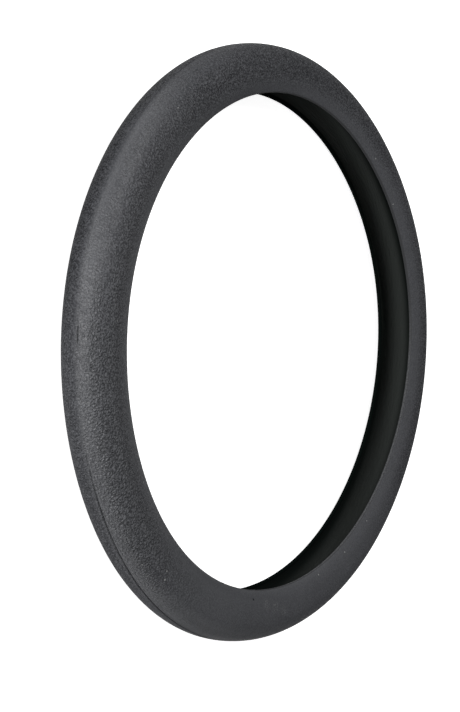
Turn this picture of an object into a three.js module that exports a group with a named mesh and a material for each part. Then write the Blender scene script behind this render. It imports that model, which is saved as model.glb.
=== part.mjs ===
// Moulded cover for a car's steering wheel: one ring of rubber with a C-shaped section, open
// towards the middle, that is stretched over the wheel's rim.
//
// Millimetres, +Z up. The ring lies on its back face on z = 0, and its axis is the Z axis. The
// section is a wall of even thickness that runs from the front lip, over the front face, round the
// crown that the hands hold, over the back face and in to the back lip. It is drawn in the
// half-plane of x (distance from the axis) and z (height above the middle plane of the ring), and
// revolved once round the axis.

import * as THREE from 'three';

// Overall size: the ring fits a wheel of 370 to 380 mm. The section's height runs from the edges of
// the lips out to the top of the crown.
const OUTER_DIAMETER = 384;
const SECTION_DEPTH = 33;
const SECTION_HEIGHT = 33;

// The wall, and the crown, which is as deep as the section. A fullness of 2 makes the crown half an
// ellipse, and more makes it squarer.
const WALL = 2.6;
const CROWN_HEIGHT = 17.5;
const CROWN_FULLNESS = 2.2;

// Each face leaves the crown flat, over a land that the ring can lie on, and then bends in to its
// lip. The rim goes in through the mouth, which is the clear gap between the two lips.
const LAND_WIDTH = 4;
const MOUTH_GAP = 22.4;

// Parting line of the mould: a shallow groove round the middle of the crown.
const PARTING_WIDTH = 1.4;
const PARTING_DEPTH = 0.5;

// How finely the round stretches are divided.
const STEPS_ROUND_RING = 120;
const STEPS_CROWN_QUARTER = 5;
const STEPS_FACE = 3;
const STEPS_LIP = 3;

const RUBBER = { color: 0x3e3f42, roughness: 0.62, metalness: 0 };

const outerRadius = OUTER_DIAMETER / 2;
const halfDepth = SECTION_DEPTH / 2;
const crownRadius = outerRadius - CROWN_HEIGHT;
const landEnd = crownRadius - LAND_WIDTH;
const lipRound = WALL / 2;
const lipRadius = outerRadius - SECTION_HEIGHT;
const lipCentre = new THREE.Vector2(lipRadius + lipRound, MOUTH_GAP / 2 + lipRound);

// Quarter of the crown's outline round (crownRadius, 0), from the middle plane to the land.
function crownQuarter(height, depth) {
  const power = 2 / CROWN_FULLNESS;
  const points = [];
  for (let i = 0; i <= STEPS_CROWN_QUARTER; i += 1) {
    const angle = (i / STEPS_CROWN_QUARTER) * (Math.PI / 2);
    const across = height * Math.cos(angle) ** power;
    const up = depth * Math.sin(angle) ** power;
    points.push(new THREE.Vector2(crownRadius + across, up));
  }
  return points;
}

// Centre line of a face, from the end of its land to the middle of its lip. A parabola, level with
// the land where it starts.
function faceCentreLine(share) {
  const start = halfDepth - lipRound;
  const x = landEnd + (lipCentre.x - landEnd) * share;
  const z = start + (lipCentre.y - start) * share * share;
  const slope = 2 * (lipCentre.y - start) * share / (lipCentre.x - landEnd);
  const normal = new THREE.Vector2(-slope, 1).normalize();
  return { middle: new THREE.Vector2(x, z), normal };
}

// One side of a face's wall: side is 1 for the outside and -1 for the inside.
function faceSide(side) {
  const points = [];
  for (let i = 0; i <= STEPS_FACE; i += 1) {
    const { middle, normal } = faceCentreLine(i / STEPS_FACE);
    points.push(middle.clone().addScaledVector(normal, side * lipRound));
  }
  return points;
}

// Round edge of the lip, from its outside to its inside, without the two ends.
function lipEdge() {
  const { middle, normal } = faceCentreLine(1);
  const from = normal.angle();
  const points = [];
  for (let i = 1; i < STEPS_LIP; i += 1) {
    const angle = from + (i / STEPS_LIP) * Math.PI;
    points.push(new THREE.Vector2(Math.cos(angle), Math.sin(angle)).multiplyScalar(lipRound).add(middle));
  }
  return points;
}

// Outside of the crown's front half, starting in the bottom of the parting groove.
function grooveAndCrown() {
  const [middle, ...rest] = crownQuarter(CROWN_HEIGHT, halfDepth);
  const bottom = new THREE.Vector2(middle.x - PARTING_DEPTH, 0);
  const edge = new THREE.Vector2(middle.x, PARTING_WIDTH / 2);
  return [bottom, edge, ...rest];
}

// The front half of the section, from the groove round the lip to the inside of the crown.
function frontHalf() {
  const inside = crownQuarter(CROWN_HEIGHT - WALL, halfDepth - WALL).reverse();
  return [...grooveAndCrown(), ...faceSide(1), ...lipEdge(), ...faceSide(-1).reverse(), ...inside];
}

// The whole closed section: the front half, and its mirror image back to the start.
function section() {
  const front = frontHalf();
  const back = front.slice(1, -1).reverse().map((point) => new THREE.Vector2(point.x, -point.y));
  return [...front, ...back, front[0].clone()];
}

function coverRing() {
  const geometry = new THREE.LatheGeometry(section(), STEPS_ROUND_RING);
  geometry.rotateX(Math.PI / 2);
  const ring = new THREE.Mesh(geometry, new THREE.MeshStandardMaterial(RUBBER));
  ring.name = 'cover_ring';
  ring.position.z = halfDepth;
  return ring;
}

const steeringWheelCover = new THREE.Group();
steeringWheelCover.add(coverRing());

export default steeringWheelCover;
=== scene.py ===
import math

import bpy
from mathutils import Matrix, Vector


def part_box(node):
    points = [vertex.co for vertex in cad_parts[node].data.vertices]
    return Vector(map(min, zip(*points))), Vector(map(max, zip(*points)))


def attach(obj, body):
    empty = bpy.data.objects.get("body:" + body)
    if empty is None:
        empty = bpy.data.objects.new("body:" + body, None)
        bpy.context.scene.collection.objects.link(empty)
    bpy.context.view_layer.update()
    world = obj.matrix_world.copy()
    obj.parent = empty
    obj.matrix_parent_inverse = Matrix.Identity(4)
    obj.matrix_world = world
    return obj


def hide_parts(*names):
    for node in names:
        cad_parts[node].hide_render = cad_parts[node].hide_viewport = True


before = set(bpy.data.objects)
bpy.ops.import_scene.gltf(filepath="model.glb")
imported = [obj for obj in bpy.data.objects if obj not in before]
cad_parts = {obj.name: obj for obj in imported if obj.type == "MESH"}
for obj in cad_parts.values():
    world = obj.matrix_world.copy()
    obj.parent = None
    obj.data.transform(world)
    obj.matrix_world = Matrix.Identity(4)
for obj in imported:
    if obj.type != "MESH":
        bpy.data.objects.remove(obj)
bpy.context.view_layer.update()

# Dresses a moulded rubber cover for a steering wheel: a ring with a C-shaped section, open towards
# its middle, that lies on a pale floor. Metres, +Z up. As drawn, the ring is round and true. The real
# one is soft, so here it is a little out of round and its section rolls a little on the way round.
#
# The section is drawn with x as the distance from the axis and z as the height above the ring's
# middle plane. Its crown is what the hands hold, the parting line runs round the middle of the
# crown, and a face leads from either side of the crown to a lip. The front half is the upper one.
# A stretch of the ring is (its middle, half its length), as degrees round the ring from +X.

ring_low, ring_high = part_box("cover_ring")

MM = 0.001

# Section, as drawn.
OUTER_RADIUS = (ring_high.x - ring_low.x) / 2
HALF_DEPTH = (ring_high.z - ring_low.z) / 2
SECTION_HEIGHT = 33 * MM
WALL = 2.6 * MM
CROWN_HEIGHT = 17.5 * MM
CROWN_FULLNESS = 2.2
LAND_WIDTH = 4 * MM
MOUTH_GAP = 22.4 * MM

CROWN_RADIUS = OUTER_RADIUS - CROWN_HEIGHT
LIP_ROUND = WALL / 2
LAND_END = CROWN_RADIUS - LAND_WIDTH
LIP_CENTRE_X = OUTER_RADIUS - SECTION_HEIGHT + LIP_ROUND
LIP_CENTRE_Z = MOUTH_GAP / 2 + LIP_ROUND

# Parting line: a narrow groove, drawn with more points towards its middle. It is nearly closed round
# most of the ring. Where it is open: (stretch, share of its depth).
GROOVE_HALF_WIDTH = 0.45 * MM
GROOVE_DEPTH = 0.55 * MM
GROOVE_REACH = 1.6 * MM
GROOVE_STEPS = 6
GROOVE_CROWDING = 1.5
CLOSED_SEAM = 0.12
OPEN_SEAM = (((-42, 33), 1.0), ((-90.5, 2.0), 1.0), ((-143, 18), 0.30))

# Soft shape. A wave is (how many times it comes round the ring, its height, where it is highest).
SWELLS = ((2, 0.43 * MM, -37.3), (3, 0.94 * MM, -32.3), (4, 0.21 * MM, -16.8), (5, 0.24 * MM, -35.8))
ROLL_MEAN = 5.36
ROLLS = ((1, 10.36, -78.2), (2, 0.88, 50.9))
SQUEEZES = ((1, 0.032, -43.1), (2, 0.060, 89.0))

# How finely the ring is divided.
STEPS_ROUND_RING = 480
STEPS_CROWN = 22
STEPS_FACE = 12
STEPS_LIP = 12

# Share of a stretch, round its middle, over which a finish is full.
FULL_SHARE = 0.5

# The lips. LIP_CREST is the share of a lip's round edge that still has the outside's finish. The
# front lip has a painted highlight further in than GLINT_START. The inside's finish goes BACK_LIP_REACH
# over the outside of the back lip as painted shade, and the inside of that lip darkens with painted
# shade from LIP_SHADE_START to LIP_SHADE_END.
LIP_CREST = 0.6
GLINT_START = LIP_CENTRE_X - 0.6 * LIP_ROUND
GLINT_ON_LIP = (50, 60)
BACK_LIP_REACH = 4 * MM
LIP_SHADE_START = LIP_CENTRE_X + 2.2 * LIP_ROUND
LIP_SHADE_END = LIP_CENTRE_X + 0.6 * LIP_ROUND

# The inside, in degrees round the crown's centre. It is palest from HOLLOW_TURN to HOLLOW_PALE, and
# darkens with painted shade to HOLLOW_DARK towards the front lip and to HOLLOW_BACK towards the back
# lip. The front two lie further back by up to HOLLOW_SHIFT at either end of the ring. The painted
# shade towards the back lip comes in between the two HOLLOW_ENDS, in degrees to either side of +X,
# and BACK_SHADE is its depth.
HOLLOW_PALE = -32
HOLLOW_DARK = -4
HOLLOW_TURN = -65
HOLLOW_BACK = -120
HOLLOW_SHIFT = 38
HOLLOW_ENDS = (140, 75)
BACK_SHADE = 0.92

# Handling has polished the front shoulder of the crown: the polish starts at the height POLISH_BACK,
# is full from POLISH_LOW to POLISH_HIGH, and ends at POLISH_FRONT.
POLISH_BACK = -4 * MM
POLISH_LOW = 1.5 * MM
POLISH_HIGH = 7 * MM
POLISH_FRONT = 16 * MM
POLISHED_SIDE = (-88, 66)

# On the leaning side the polish and the start of the back half's painted shade lie further forward by
# LEAN. The front end of the full polish moves by a share of that.
LEANING_SIDE = (-145, 45)
LEAN = 3 * MM
LEAN_IN_FRONT = 0.5

# The back half has painted shade: the tone darkens from the height SHADED_BACK_START down to
# SHADED_BACK_END. Where it is the same as on the front half, with no painted shade: (stretch, how nearly).
SHADED_BACK_START = 0.5 * MM
SHADED_BACK_END = -11 * MM
UNSHADED_BACK = (((-40, 70), 1.0), ((-178, 30), 0.7))

# Two places are painted paler, as painted light. On the polished side it is the front face, from
# PALE_FACE_START in to PALE_FACE_END as distances from the axis, and less again within PALE_FACE_REACH
# of the lip. On PAINTED_LIGHT_CROWN it is the front shoulder of the crown, full between the heights
# CROWN_PALE_BACK and CROWN_PALE_FRONT.
PALE_FACE_START = OUTER_RADIUS - 2.5 * MM
PALE_FACE_END = OUTER_RADIUS - 11.5 * MM
PALE_FACE_REACH = 8 * MM
PAINTED_LIGHT_CROWN = (-5, 45)
CROWN_PALE_BACK = 2 * GROOVE_REACH
CROWN_PALE_FRONT = 0.65 * HALF_DEPTH

# Strength of the grain. It is full on both shoulders of the crown, over which it grows from the
# first height to the second, and on the front one from SHOULDER_RADIUS out. It is weaker beside the
# parting line and on the faces, with more on GRAINED_FACE.
SHOULDER_HEIGHTS = (0.1 * HALF_DEPTH, 0.5 * HALF_DEPTH)
BACK_SHOULDER_HEIGHTS = (0.0, -0.3 * HALF_DEPTH)
SHOULDER_RADIUS = CROWN_RADIUS + 0.2 * CROWN_HEIGHT
LEAST_GRAIN = 0.2
SEAM_GRAIN = 0.6
FACE_GRAIN = 0.4
MORE_FACE_GRAIN = 0.8
GRAINED_FACE = (180, 65)

# Two stretches have lost a share of their grain. FLAT_GRAIN has lost it on all sides, and
# SMOOTH_SHOULDER on the front of the crown, from the height SMOOTH_BACK up, fully up to SMOOTH_HIGH.
FLAT_GRAIN = (8, 60)
FLAT_LOSS = 0.75
SMOOTH_SHOULDER = (-130, 42)
SMOOTH_LOSS = 0.5
SMOOTH_BACK = -2 * MM
SMOOTH_HIGH = 10 * MM

# Camera, round the middle of the ring.
CAMERA_DISTANCE = 0.9521
CAMERA_ELEVATION = math.radians(34.759)
CAMERA_PAN = math.radians(-0.564)
CAMERA_TILT = math.radians(-1.516)
CAMERA_ROLL = math.radians(92.122)
CAMERA_SENSOR = 36.0
CAMERA_LENS = 74.08


def make_camera():
    """Camera that looks down at the ring from its -Y side, turned on its side."""
    data = bpy.data.cameras.new("camera")
    data.sensor_width = CAMERA_SENSOR
    data.lens = CAMERA_LENS
    camera = bpy.data.objects.new("camera", data)
    bpy.context.scene.collection.objects.link(camera)
    place = Vector((0, -math.cos(CAMERA_ELEVATION), math.sin(CAMERA_ELEVATION))) * CAMERA_DISTANCE
    turn = (
        Matrix.Rotation(math.pi / 2 - CAMERA_ELEVATION, 4, "X")
        @ Matrix.Rotation(CAMERA_PAN, 4, "Y")
        @ Matrix.Rotation(CAMERA_TILT, 4, "X")
        @ Matrix.Rotation(CAMERA_ROLL, 4, "Z")
    )
    camera.matrix_world = Matrix.Translation(place + Vector((0, 0, HALF_DEPTH))) @ turn
    bpy.context.scene.camera = camera


def superellipse(height, depth, angle):
    """Point of the crown's outline round (CROWN_RADIUS, 0)."""
    power = 2 / CROWN_FULLNESS
    across = height * abs(math.cos(angle)) ** power
    up = depth * abs(math.sin(angle)) ** power
    return CROWN_RADIUS + across, math.copysign(up, math.sin(angle))


def face_line(share):
    """Middle of a face's wall, and its normal, from the end of the land to the lip."""
    start = HALF_DEPTH - LIP_ROUND
    run = LIP_CENTRE_X - LAND_END
    x = LAND_END + run * share
    z = start + (LIP_CENTRE_Z - start) * share ** 2
    slope = 2 * (LIP_CENTRE_Z - start) * share / run
    length = math.hypot(slope, 1)
    return x, z, -slope / length, 1 / length


def front_outside():
    """Outside of the front half, from beside the parting groove to the start of the lip."""
    points = []
    for i in range(1, STEPS_CROWN + 1):
        x, z = superellipse(CROWN_HEIGHT, HALF_DEPTH, math.pi / 2 * (i / STEPS_CROWN))
        if z > GROOVE_REACH:
            points.append((x, z))
    for i in range(STEPS_FACE + 1):
        x, z, nx, nz = face_line(i / STEPS_FACE)
        points.append((x + nx * LIP_ROUND, z + nz * LIP_ROUND))
    return points


def front_lip():
    """Round edge of the front lip as (x, z, part), between its two sides."""
    x, z, nx, nz = face_line(1)
    start = math.atan2(nz, nx)
    points = []
    for i in range(1, STEPS_LIP):
        share = i / STEPS_LIP
        angle = start + math.pi * share
        part = "lip" if share < LIP_CREST else "inside"
        points.append((x + LIP_ROUND * math.cos(angle), z + LIP_ROUND * math.sin(angle), part))
    return points


def front_inside():
    """Inside of the front half, from the lip to the middle of the crown."""
    points = []
    for i in range(STEPS_FACE, -1, -1):
        x, z, nx, nz = face_line(i / STEPS_FACE)
        points.append((x - nx * LIP_ROUND, z - nz * LIP_ROUND))
    for i in range(STEPS_CROWN - 1, -1, -1):
        angle = math.pi / 2 * (i / STEPS_CROWN)
        points.append(superellipse(CROWN_HEIGHT - WALL, HALF_DEPTH - WALL, angle))
    return points


def section():
    """Closed outline of the section as (x, z, part), where part says what the surface is there."""
    groove = []
    for i in range(-GROOVE_STEPS, GROOVE_STEPS + 1):
        z = GROOVE_REACH * math.copysign(abs(i / GROOVE_STEPS) ** GROOVE_CROWDING, i)
        share = 1 - (abs(z) / HALF_DEPTH) ** CROWN_FULLNESS
        groove.append((CROWN_RADIUS + CROWN_HEIGHT * share ** (1 / CROWN_FULLNESS), z, "groove"))
    outside = [(x, z, "outside") for x, z in front_outside()]
    inside = [(x, z, "inside") for x, z in front_inside()]
    front = outside + front_lip() + inside
    back = [(x, -z, part) for x, z, part in reversed(front[:-1])]
    return groove + front + back


def groove_depth(z, angle):
    """How far the parting line sinks the crown at a height from its middle."""
    return GROOVE_DEPTH * math.exp(-((z / GROOVE_HALF_WIDTH) ** 2)) * groove_strength(angle)


def groove_strength(angle):
    """The line is nearly closed round most of the ring, and open in a few stretches."""
    opened = max(share * bump(angle, stretch) for stretch, share in OPEN_SEAM)
    return CLOSED_SEAM + (1 - CLOSED_SEAM) * opened


def waves(table, angle):
    """Sum of the waves of a table at an angle round the ring."""
    return sum(height * math.cos(times * (angle - math.radians(at))) for times, height, at in table)


def soft_section(outline, angle):
    """The section at an angle round the ring as (radius, height), rolled so that it lies on the floor."""
    roll = math.radians(ROLL_MEAN + waves(ROLLS, angle))
    squeeze = 1 + waves(SQUEEZES, angle)
    middle = CROWN_RADIUS + waves(SWELLS, angle)
    places = []
    for x, z, part in outline:
        sunk = groove_depth(z, angle) if part == "groove" else 0
        across = (x - sunk - CROWN_RADIUS) * squeeze
        radius = middle + across * math.cos(roll) - z * math.sin(roll)
        places.append((radius, across * math.sin(roll) + z * math.cos(roll)))
    lowest = min(height for _, height in places)
    return [(radius, height - lowest) for radius, height in places]


def skin_lengths(outline):
    """Length along the outline from its first point, for each point."""
    lengths = [0.0]
    for (x0, z0, _), (x1, z1, _) in zip(outline, outline[1:]):
        lengths.append(lengths[-1] + math.hypot(x1 - x0, z1 - z0))
    return lengths


def signed_angle(step):
    """Angle of a step round the ring, from -180 to 180 degrees, in radians."""
    angle = 2 * math.pi * step / STEPS_ROUND_RING
    return angle if angle <= math.pi else angle - 2 * math.pi


def make_ring():
    """The soft ring, with the section's points joined to those of the next step."""
    outline = section()
    count = len(outline)
    points = []
    for step in range(STEPS_ROUND_RING):
        angle = signed_angle(step)
        for radius, height in soft_section(outline, angle):
            points.append((radius * math.cos(angle), radius * math.sin(angle), height))
    faces = []
    for step in range(STEPS_ROUND_RING):
        here = step * count
        there = (step + 1) % STEPS_ROUND_RING * count
        for i in range(count):
            j = (i + 1) % count
            faces.append((here + i, there + i, there + j, here + j))
    mesh = bpy.data.meshes.new("cover_skin")
    mesh.from_pydata(points, [], faces)
    mesh.validate()
    mesh.shade_smooth()
    add_masks(mesh, outline)
    ring = bpy.data.objects.new("cover_skin", mesh)
    bpy.context.scene.collection.objects.link(ring)
    return ring


def add_masks(mesh, outline):
    """Numbers that the material reads at each point of the skin."""
    across = skin_lengths(outline)
    names = ("inside", "shaded", "lip", "lip_glint", "seam", "grain", "shaded_back", "polish", "painted_light", "across")
    values = {name: [] for name in names}
    for step in range(STEPS_ROUND_RING):
        angle = signed_angle(step)
        for (x, z, part), length in zip(outline, across):
            values["inside"].append(inside_at(x, z, part))
            values["shaded"].append(shaded_at(x, z, part, angle))
            values["lip"].append(1.0 if part == "lip" and z > 0 else 0.0)
            values["lip_glint"].append(lip_glint_at(x, z, part, angle))
            values["seam"].append(groove_depth(z, angle) / GROOVE_DEPTH if part == "groove" else 0.0)
            values["grain"].append(grain_at(x, z, part, angle))
            values["shaded_back"].append(shaded_back_at(z, angle))
            values["polish"].append(polish_at(z, part, angle))
            values["painted_light"].append(painted_light_at(x, z, part, angle))
            values["across"].append(length)
    for name, numbers in values.items():
        mesh.attributes.new(name, "FLOAT", "POINT").data.foreach_set("value", numbers)


def ramp(value, start, end):
    """Smooth step from 0 at start to 1 at end."""
    share = min(1.0, max(0.0, (value - start) / (end - start)))
    return share * share * (3 - 2 * share)


def bump(angle, stretch):
    """1 over the middle of a stretch of the ring, and 0 beyond its ends."""
    middle, half = stretch
    away = abs((math.degrees(angle) - middle + 180) % 360 - 180)
    return ramp(away, half, FULL_SHARE * half)


def inside_at(x, z, part):
    """The inside's finish, painted dark as shade, runs out over the whole edge of the back lip."""
    if part == "outside" and z < 0:
        return ramp(x, LIP_CENTRE_X + BACK_LIP_REACH, LIP_CENTRE_X)
    return 1.0 if part == "inside" or (part == "lip" and z < 0) else 0.0


def shaded_at(x, z, part, angle):
    """Painted shade of the inside: darkest over the back lip, and from the crown's middle to the front lip.
    """
    if part != "inside" or z > 0 and x < CROWN_RADIUS:
        return 1.0
    turn = math.degrees(math.atan2(z, x - CROWN_RADIUS))
    from_front = ramp(turn + HOLLOW_SHIFT * math.cos(angle) ** 2, HOLLOW_PALE, HOLLOW_DARK)
    depth = BACK_SHADE * ramp(abs(math.degrees(angle)), *HOLLOW_ENDS)
    from_back = depth * ramp(turn, HOLLOW_TURN, HOLLOW_BACK)
    on_lip = ramp(x, LIP_SHADE_START, LIP_SHADE_END)
    return max(from_front, from_back, on_lip)


def lip_glint_at(x, z, part, angle):
    """Painted highlight on the crest of the front lip, on one stretch of the ring."""
    if part != "lip" or z < 0:
        return 0.0
    return ramp(x, GLINT_START, LIP_CENTRE_X - LIP_ROUND) * bump(angle, GLINT_ON_LIP)


def grain_at(x, z, part, angle):
    """Strength of the grain: most on both shoulders of the crown, none inside."""
    if part == "inside":
        return 0.0
    if part == "lip":
        return LEAST_GRAIN
    shoulder = ramp(z, *SHOULDER_HEIGHTS) * ramp(x, LIP_CENTRE_X, SHOULDER_RADIUS)
    face_strength = FACE_GRAIN + MORE_FACE_GRAIN * bump(angle, GRAINED_FACE)
    face = face_strength * ramp(x, LIP_CENTRE_X - LIP_ROUND, CROWN_RADIUS)
    if z < 0:
        back_strength = SEAM_GRAIN + (1.0 - SEAM_GRAIN) * ramp(z, *BACK_SHOULDER_HEIGHTS)
        crown = back_strength * ramp(x, LIP_CENTRE_X, CROWN_RADIUS)
    else:
        crown = SEAM_GRAIN * ramp(x, LAND_END, CROWN_RADIUS)
    strength = max(LEAST_GRAIN, face, crown, shoulder)
    flat = FLAT_LOSS * bump(angle, FLAT_GRAIN)
    smooth = min(ramp(z, SMOOTH_BACK, POLISH_LOW), ramp(z, POLISH_FRONT, SMOOTH_HIGH))
    return strength * (1.0 - flat) * (1.0 - SMOOTH_LOSS * smooth * bump(angle, SMOOTH_SHOULDER))


def lean(angle):
    """How far the shoulder's polish and the back half's painted shade lie further forward on one stretch."""
    return LEAN * bump(angle, LEANING_SIDE)


def polish_at(z, part, angle):
    """Handling has left the front shoulder of the crown smoother on one side of the ring."""
    if part not in ("outside", "groove"):
        return 0.0
    further = lean(angle)
    from_back = ramp(z - further, POLISH_BACK, POLISH_LOW)
    from_front = ramp(z, POLISH_FRONT, POLISH_HIGH + LEAN_IN_FRONT * further)
    return min(from_back, from_front) * bump(angle, POLISHED_SIDE)


def shaded_back_at(z, angle):
    """Painted shade on the back half, apart from two stretches of the ring."""
    same = max(share * bump(angle, stretch) for stretch, share in UNSHADED_BACK)
    return ramp(z - lean(angle), SHADED_BACK_START, SHADED_BACK_END) * (1 - same)


def painted_light_at(x, z, part, angle):
    """Painted light, paler: the front face on the polished side, and the crown round one end of the ring."""
    if part != "outside" or z < 0:
        return 0.0
    face = min(ramp(x, PALE_FACE_START, PALE_FACE_END), ramp(x, LIP_CENTRE_X, LIP_CENTRE_X + PALE_FACE_REACH))
    crown = min(ramp(z, GROOVE_REACH, CROWN_PALE_BACK), ramp(z, HALF_DEPTH, CROWN_PALE_FRONT))
    return max(face * max(0.0, -math.sin(angle)), crown * bump(angle, PAINTED_LIGHT_CROWN))


# Marks on the front of the skin are (degrees round the ring, millimetres from the axis). Grains of
# dust that stand out, a pale rubbed smear and a small dark pit beside it.
DUST_RADIUS = 0.65 * MM
DUST_GRAINS = (
    (-137, 182),
    (-93, 173),
    (-60, 163),
    (-47, 189),
    (-42, 180),
    (-41, 184),
    (17, 161),
    (29, 162),
    (41, 162),
    (129, 162),
    (143, 164),
)
SMEAR = ((-5, 167), (-2, 169), (1, 172))
SMEAR_RADIUS = 4.5 * MM
SMEAR_STRENGTH = 0.2
PIT = (-10, 164)
PIT_RADIUS = 1.0 * MM

# A mark lies as high as the highest point of the section this near to it.
MARK_SEARCH = 1 * MM

# Share of a spot's radius within which it is full.
SPOT_FULL = 0.5

# Sparse fine dust: grains SPECK_SPACING apart, of which a share is left out.
SPECK_SPACING = 13 * MM
SPECK_RADIUS = 0.42 * MM
SPECK_FULL = 0.6
SPECKS_LEFT_OUT = 0.75

# Leather grain: pads between creases, and pebbles over them. PAD_EDGE is how far from a crease a pad
# is full, as a share of its size. Slow noise moves both by up to WANDER_REACH.
WRINKLE_SIZE = 1.9 * MM
PEBBLE_SIZE = 1.15 * MM
PAD_EDGE = 0.42
PAD_SHARE = 0.5
PEBBLE_SHARE = 0.9
WANDER_SIZE = 3 * WRINKLE_SIZE
WANDER_REACH = 1.6 * WRINKLE_SIZE
GRAIN_HEIGHT = 1.0 * MM

# Pores, slow clouds, and mottling of about the grain's size.
PORE_SIZE = 0.75 * MM
PORE_HEIGHT = 0.07 * MM
PORES_INSIDE = 0.15
CLOUD_SIZE = 22 * MM
MOTTLE_SIZE = 1.0 * MM
MOTTLE_RANGE = (0.36, 0.64)

# Fine streaks round the ring, in relief: how strong they are on the back half and on the polish.
STREAK_LENGTH = 7 * MM
STREAK_WIDTH = 0.9 * MM
STREAKS_BEHIND = 0.4
STREAKS_POLISHED = 0.2

# Roughness, and how much the clouds and the pores, from their middle levels, and the pads change it.
MATT = 0.62
POLISHED = 0.42
INSIDE_ROUGHER = 0.25
CLOUD_ROUGHNESS = 0.15
PORE_ROUGHNESS = 0.12
CLOUD_MIDDLE = 0.5
PORE_MIDDLE = 0.3
PAD_SMOOTHNESS = 0.06

# Specular level, and the even one that stands for it where it can't vary.
POLISHED_SHINE = 0.27
FACE_SHINE = 0.03
INSIDE_SHINE = 0.0
EVEN_SHINE = 0.15

# Colours. Between the dark and the pale rubber the tone follows the clouds, the pores and the
# mottling, each with its weight.
RUBBER_DARK = (0.0395, 0.0405, 0.0440, 1)
RUBBER_PALE = (0.0770, 0.0785, 0.0845, 1)
# Painted shade on the back half:
SHADED_BACK_COLOUR = (0.030, 0.031, 0.034, 1)
# Painted light, paler:
PAINTED_LIGHT_COLOUR = (0.104, 0.106, 0.111, 1)
LIP_COLOUR = (0.038, 0.039, 0.041, 1)
INSIDE_COLOUR = (0.0500, 0.0552, 0.0520, 1)
# Painted shade of the inside:
SHADED_COLOUR = (0.0032, 0.0048, 0.0043, 1)
# Painted shade in the grain's creases; the same colour darkens the seam line and the small pit:
CREASE_COLOUR = (0.0075, 0.0080, 0.0090, 1)
DUST_COLOUR = (0.205, 0.205, 0.20, 1)
# Painted highlight on the crest of the front lip:
GLINT_COLOUR = (0.085, 0.086, 0.090, 1)
CLOUD_TONE = 0.4
PORE_TONE = 0.6
MOTTLE_TONE = 1.2

# How far each of these covers what lies under it.
SHADED_BACK_COVER = 0.85
PAINTED_LIGHT_COVER = 0.45
SEAM_COVER = 0.8
CREASE_SHADE_FRONT = 0.55
CREASE_SHADE_BACK = 0.95

# Levels of the noise between which each of these comes in.
PORE_RANGE = (0.3, 0.7)
CREASE_RANGE = (0.60, 0.42)
GLINT_RANGE = (0.35, 0.6)
SMEAR_RANGE = (0.46, 0.64)


class Nodes:
    """Short way to write a node tree."""

    def __init__(self, tree):
        self.tree = tree
        tree.nodes.clear()

    def add(self, kind, settings=None, **inputs):
        """A new node. Inputs go by their names, with _ for a space."""
        node = self.tree.nodes.new(kind)
        for key, value in (settings or {}).items():
            setattr(node, key, value)
        for key, value in inputs.items():
            self.feed(node, key.replace("_", " "), value)
        return node

    def feed(self, node, name, value):
        """Sets an input, or links it, by its name or its number."""
        socket = node.inputs[int(name)] if name.isdigit() else node.inputs[name]
        if isinstance(value, bpy.types.NodeSocket):
            self.tree.links.new(value, socket)
        else:
            socket.default_value = value

    def math(self, operation, a, b, clamp=False):
        node = self.add("ShaderNodeMath", {"operation": operation, "use_clamp": clamp})
        self.feed(node, "0", a)
        self.feed(node, "1", b)
        return node.outputs[0]

    def times(self, a, b):
        return self.math("MULTIPLY", a, b)

    def plus(self, a, b, clamp=False):
        return self.math("ADD", a, b, clamp)

    def greatest(self, a, b):
        return self.math("MAXIMUM", a, b)

    def vector(self, operation, a, b=None, **inputs):
        """Result of an operation on one or two vectors."""
        node = self.add("ShaderNodeVectorMath", {"operation": operation}, **inputs)
        self.feed(node, "0", a)
        if b is not None:
            self.feed(node, "1", b)
        return node.outputs["Value" if operation == "DISTANCE" else "Vector"]

    def attribute(self, name):
        return self.add("ShaderNodeAttribute", {"attribute_name": name}).outputs["Fac"]

    def noise(self, vector, scale, detail, roughness):
        node = self.add("ShaderNodeTexNoise", Scale=scale, Detail=detail, Roughness=roughness, Vector=vector)
        return node.outputs["Fac"]

    def fade(self, value, low, high, to_low=0.0, to_high=1.0):
        """Smooth step from to_low at low to to_high at high."""
        node = self.add("ShaderNodeMapRange", {"interpolation_type": "SMOOTHSTEP"})
        for name, number in (("From Min", low), ("From Max", high), ("To Min", to_low), ("To Max", to_high)):
            self.feed(node, name, number)
        self.feed(node, "Value", value)
        return node.outputs["Result"]

    def mix(self, share, a, b):
        """Colour a, with a share of colour b over it."""
        node = self.add("ShaderNodeMix", {"data_type": "RGBA"})
        self.feed(node, "0", share)
        self.feed(node, "6", a)
        self.feed(node, "7", b)
        return node.outputs[2]


def wander(n, place):
    """A place moved a little by slow noise, so that the cells of the grain don't lie straight."""
    noise = n.add("ShaderNodeTexNoise", Scale=1 / WANDER_SIZE, Detail=2.0, Vector=place)
    shift = n.vector("SCALE", noise.outputs["Color"], Scale=WANDER_REACH)
    return n.vector("ADD", place, shift)


def wrinkles(n, place):
    """Leather grain: rounded pads and pebbles, low in a crease and high on a pad."""
    moved = wander(n, place)
    edges = {"feature": "DISTANCE_TO_EDGE"}
    cells = n.add("ShaderNodeTexVoronoi", edges, Scale=1 / WRINKLE_SIZE, Vector=moved)
    pads = n.fade(cells.outputs["Distance"], 0.0, PAD_EDGE)
    pebbles = n.noise(moved, 1 / PEBBLE_SIZE, detail=1.0, roughness=0.4)
    return n.plus(n.times(pads, PAD_SHARE), n.times(pebbles, PEBBLE_SHARE))


def streaks(n, place):
    """Fine lines that run round the ring."""
    parts = n.add("ShaderNodeSeparateXYZ", Vector=place)
    flat = n.add("ShaderNodeCombineXYZ", X=parts.outputs[0], Y=parts.outputs[1])
    outwards = n.vector("NORMALIZE", flat.outputs[0])
    long_way = n.vector("SCALE", outwards, Scale=OUTER_RADIUS / STREAK_LENGTH)
    short_way = n.add("ShaderNodeCombineXYZ", Z=n.times(n.attribute("across"), 1 / STREAK_WIDTH))
    along = n.vector("ADD", long_way, short_way.outputs[0])
    return n.noise(along, 1.0, detail=1.5, roughness=0.5)


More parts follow.
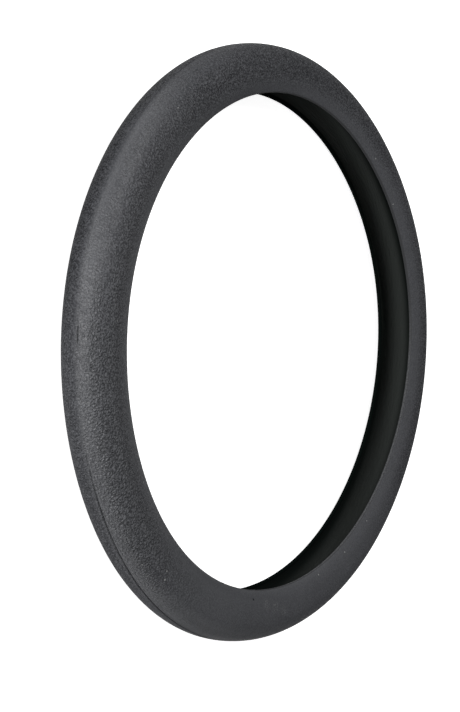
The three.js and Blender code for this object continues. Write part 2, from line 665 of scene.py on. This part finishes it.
def specks(n, place):
    """Grains of dust: 1 on a grain."""
    cells = n.add("ShaderNodeTexVoronoi", Scale=1 / SPECK_SPACING, Vector=place)
    edge = SPECK_RADIUS / SPECK_SPACING
    near = n.fade(cells.outputs["Distance"], edge, SPECK_FULL * edge)
    lot = n.add("ShaderNodeSeparateColor", Color=cells.outputs["Color"]).outputs[0]
    found = n.times(near, n.math("GREATER_THAN", lot, SPECKS_LEFT_OUT))
    for mark in DUST_GRAINS:
        found = n.greatest(found, spot(n, place, mark, DUST_RADIUS))
    return found


def smear(n, place):
    """Faint smear of dust along the face."""
    found = 0.0
    for mark in SMEAR:
        found = n.greatest(found, spot(n, place, mark, SMEAR_RADIUS))
    return n.times(found, SMEAR_STRENGTH)


def spot(n, place, mark, radius):
    """1 inside a ball round a mark, fading out towards its surface."""
    away = n.vector("DISTANCE", place, mark_place(*mark))
    return n.fade(away, radius, SPOT_FULL * radius)


def mark_place(degrees, millimetres):
    """Point on the front of the skin at an angle round the ring and a distance from the axis."""
    angle = math.radians(degrees)
    radius = millimetres * MM
    front = [place for place in soft_section(section(), angle) if place[1] > HALF_DEPTH]
    height = max(up for out, up in front if abs(out - radius) < MARK_SEARCH)
    return radius * math.cos(angle), radius * math.sin(angle), height


def outside_colour(n, place, pads, pores, clouds):
    """Dark grey, dark seam, painted shade in creases and behind it, painted light, a painted lip highlight.
    """
    grain = n.attribute("grain")
    shaded_back = n.attribute("shaded_back")
    tone = n.plus(n.times(clouds, CLOUD_TONE), n.times(n.fade(pores, *PORE_RANGE), PORE_TONE))
    mottle = n.noise(place, 1 / MOTTLE_SIZE, detail=2.0, roughness=0.6)
    mottle = n.fade(mottle, *MOTTLE_RANGE, to_low=-0.5, to_high=0.5)
    tone = n.plus(tone, n.times(mottle, n.times(grain, MOTTLE_TONE)), clamp=True)
    skin = n.mix(tone, RUBBER_DARK, RUBBER_PALE)
    # Painted shade on the back half.
    skin = n.mix(n.times(shaded_back, SHADED_BACK_COVER), skin, SHADED_BACK_COLOUR)
    # Painted light: paler in two places.
    skin = n.mix(n.times(n.attribute("painted_light"), PAINTED_LIGHT_COVER), skin, PAINTED_LIGHT_COLOUR)
    # Painted shade in the grain's creases, deeper on the back half.
    depth = n.fade(shaded_back, 0.0, 1.0, CREASE_SHADE_FRONT, CREASE_SHADE_BACK)
    crease_shade = n.times(n.fade(pads, *CREASE_RANGE), n.times(grain, depth))
    skin = n.mix(crease_shade, skin, CREASE_COLOUR)
    skin = n.mix(n.times(n.attribute("seam"), SEAM_COVER), skin, CREASE_COLOUR)
    skin = n.mix(n.attribute("lip"), skin, LIP_COLOUR)
    # Painted highlight on the crest of the front lip.
    lip_glint = n.times(n.attribute("lip_glint"), n.fade(pores, *GLINT_RANGE))
    return n.mix(lip_glint, skin, GLINT_COLOUR)


def rubber_colour(n, place, inside, outside, pads, pores, clouds):
    """Dark grey outside and black inside with painted shade, with a smear, a pit and grains of dust."""
    # Painted shade on the inside.
    hollow = n.mix(n.attribute("shaded"), INSIDE_COLOUR, SHADED_COLOUR)
    colour = n.mix(inside, outside_colour(n, place, pads, pores, clouds), hollow)
    colour = n.mix(n.times(smear(n, place), n.fade(pores, *SMEAR_RANGE)), colour, DUST_COLOUR)
    colour = n.mix(spot(n, place, PIT, PIT_RADIUS), colour, CREASE_COLOUR)
    return n.mix(n.times(specks(n, place), outside), colour, DUST_COLOUR)


def rubber_roughness(n, inside, pads, pores, clouds):
    """Matt all over: less on the smoother shoulder and on the pads, more inside."""
    rough = n.fade(n.attribute("polish"), 0.0, 1.0, MATT, POLISHED)
    rough = n.plus(rough, n.times(n.math("SUBTRACT", clouds, CLOUD_MIDDLE), CLOUD_ROUGHNESS))
    rough = n.plus(rough, n.times(n.math("SUBTRACT", pores, PORE_MIDDLE), PORE_ROUGHNESS))
    rough = n.math("SUBTRACT", rough, n.times(n.times(pads, n.attribute("grain")), PAD_SMOOTHNESS))
    return n.plus(rough, n.times(inside, INSIDE_ROUGHER), clamp=True)


def rubber_normal(n, place, outside, pads, pores):
    """Relief: leather grain, faint streaks along the crown, and fine pores."""
    shaded_back = n.times(n.attribute("shaded_back"), STREAKS_BEHIND)
    streaked = n.greatest(shaded_back, n.times(n.attribute("polish"), STREAKS_POLISHED))
    lines = n.times(streaks(n, place), streaked)
    grain_height = n.plus(n.times(pads, n.attribute("grain")), lines)
    coarse = n.add("ShaderNodeBump", Distance=GRAIN_HEIGHT, Height=grain_height)
    strength = n.plus(PORES_INSIDE, n.times(outside, 1.0 - PORES_INSIDE))
    fine_height = n.times(pores, strength)
    fine = n.add("ShaderNodeBump", Distance=PORE_HEIGHT, Height=fine_height, Normal=coarse.outputs[0])
    return fine.outputs[0]


def rubber():
    """Grained dark rubber outside, plain black inside, with painted light and shade and a little dust."""
    material = bpy.data.materials.new("moulded_rubber")
    material.use_nodes = True
    n = Nodes(material.node_tree)
    place = n.add("ShaderNodeTexCoord").outputs["Object"]
    inside = n.attribute("inside")
    outside = n.math("SUBTRACT", 1.0, inside, clamp=True)
    pads = wrinkles(n, place)
    pores = n.noise(place, 1 / PORE_SIZE, detail=3.0, roughness=0.6)
    clouds = n.noise(place, 1 / CLOUD_SIZE, detail=4.0, roughness=0.55)
    shader = n.add(
        "ShaderNodeBsdfPrincipled",
        Base_Color=rubber_colour(n, place, inside, outside, pads, pores, clouds),
        Roughness=rubber_roughness(n, inside, pads, pores, clouds),
        Normal=rubber_normal(n, place, outside, pads, pores),
    )
    shine = n.fade(n.attribute("polish"), 0.0, 1.0, FACE_SHINE, POLISHED_SHINE)
    shader.inputs["Specular IOR Level"].default_value = EVEN_SHINE
    n.feed(shader, "Specular IOR Level", n.fade(inside, 0.0, 1.0, shine, INSIDE_SHINE))
    out = n.add("ShaderNodeOutputMaterial")
    n.tree.links.new(shader.outputs[0], out.inputs["Surface"])
    return material


# Floor and surrounding light.
FLOOR_SIZE = 8.0
FLOOR_COLOUR = (0.80, 0.80, 0.80, 1)
FLOOR_ROUGHNESS = 0.9
FLOOR_GLOW = 0.86
WHITE = (1, 1, 1, 1)
WORLD_STRENGTH = 0.25


def seen_directly(n):
    """1 for the camera's own rays, and for those that come back from gloss or through glass."""
    path = n.add("ShaderNodeLightPath")
    seen = n.greatest(path.outputs["Is Camera Ray"], path.outputs["Is Glossy Ray"])
    return n.greatest(seen, path.outputs["Is Transmission Ray"])


def floor_material():
    """Pale and matt, and white where it is seen directly."""
    material = bpy.data.materials.new("floor")
    material.use_nodes = True
    n = Nodes(material.node_tree)
    shader = n.add("ShaderNodeBsdfPrincipled", Base_Color=FLOOR_COLOUR, Roughness=FLOOR_ROUGHNESS)
    shader.inputs["Specular IOR Level"].default_value = 0.0
    shader.inputs["Emission Color"].default_value = WHITE
    n.feed(shader, "Emission Strength", n.times(seen_directly(n), FLOOR_GLOW))
    out = n.add("ShaderNodeOutputMaterial")
    n.tree.links.new(shader.outputs[0], out.inputs["Surface"])
    return material


def make_floor():
    """Square floor under the ring."""
    half = FLOOR_SIZE / 2
    corners = [(-half, -half, 0), (half, -half, 0), (half, half, 0), (-half, half, 0)]
    mesh = bpy.data.meshes.new("floor")
    mesh.from_pydata(corners, [], [(0, 1, 2, 3)])
    mesh.materials.append(floor_material())
    floor = bpy.data.objects.new("floor", mesh)
    bpy.context.scene.collection.objects.link(floor)


def make_world():
    """Even white light from all round."""
    world = bpy.data.worlds.new("studio")
    bpy.context.scene.world = world
    world.use_nodes = True
    n = Nodes(world.node_tree)
    sky = n.add("ShaderNodeBackground", Color=WHITE, Strength=WORLD_STRENGTH)
    out = n.add("ShaderNodeOutputWorld")
    n.tree.links.new(sky.outputs[0], out.inputs["Surface"])


def soft_box(name, place, aim, width, height, power):
    """Rectangular lamp at a place, turned towards another."""
    data = bpy.data.lights.new(name, "AREA")
    data.shape = "RECTANGLE"
    data.size = width
    data.size_y = height
    data.energy = power
    lamp = bpy.data.objects.new(name, data)
    bpy.context.scene.collection.objects.link(lamp)
    lamp.location = place
    lamp.rotation_mode = "QUATERNION"
    lamp.rotation_quaternion = (Vector(aim) - Vector(place)).to_track_quat("-Z", "Y")
    lamp.visible_camera = False


def make_lights():
    """Two lamps beside the ring's -Y side, one over the other, and one high over its -X side."""
    near_crown = (0, -0.15, 0.02)
    soft_box("side_upper", (0.0, -1.25, 0.36), near_crown, width=0.5, height=0.3, power=7.6)
    soft_box("side_lower", (0.0, -1.30, 0.10), near_crown, width=0.45, height=0.17, power=8)
    soft_box("upper_edge", (-0.75, -0.1, 1.25), (0, 0, 0), width=0.8, height=0.7, power=14)


make_camera()
ring = make_ring()
ring.data.materials.append(rubber())
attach(ring, "root")
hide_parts("cover_ring")
make_floor()
make_world()
make_lights()
bpy.context.scene.view_settings.view_transform = "Standard"
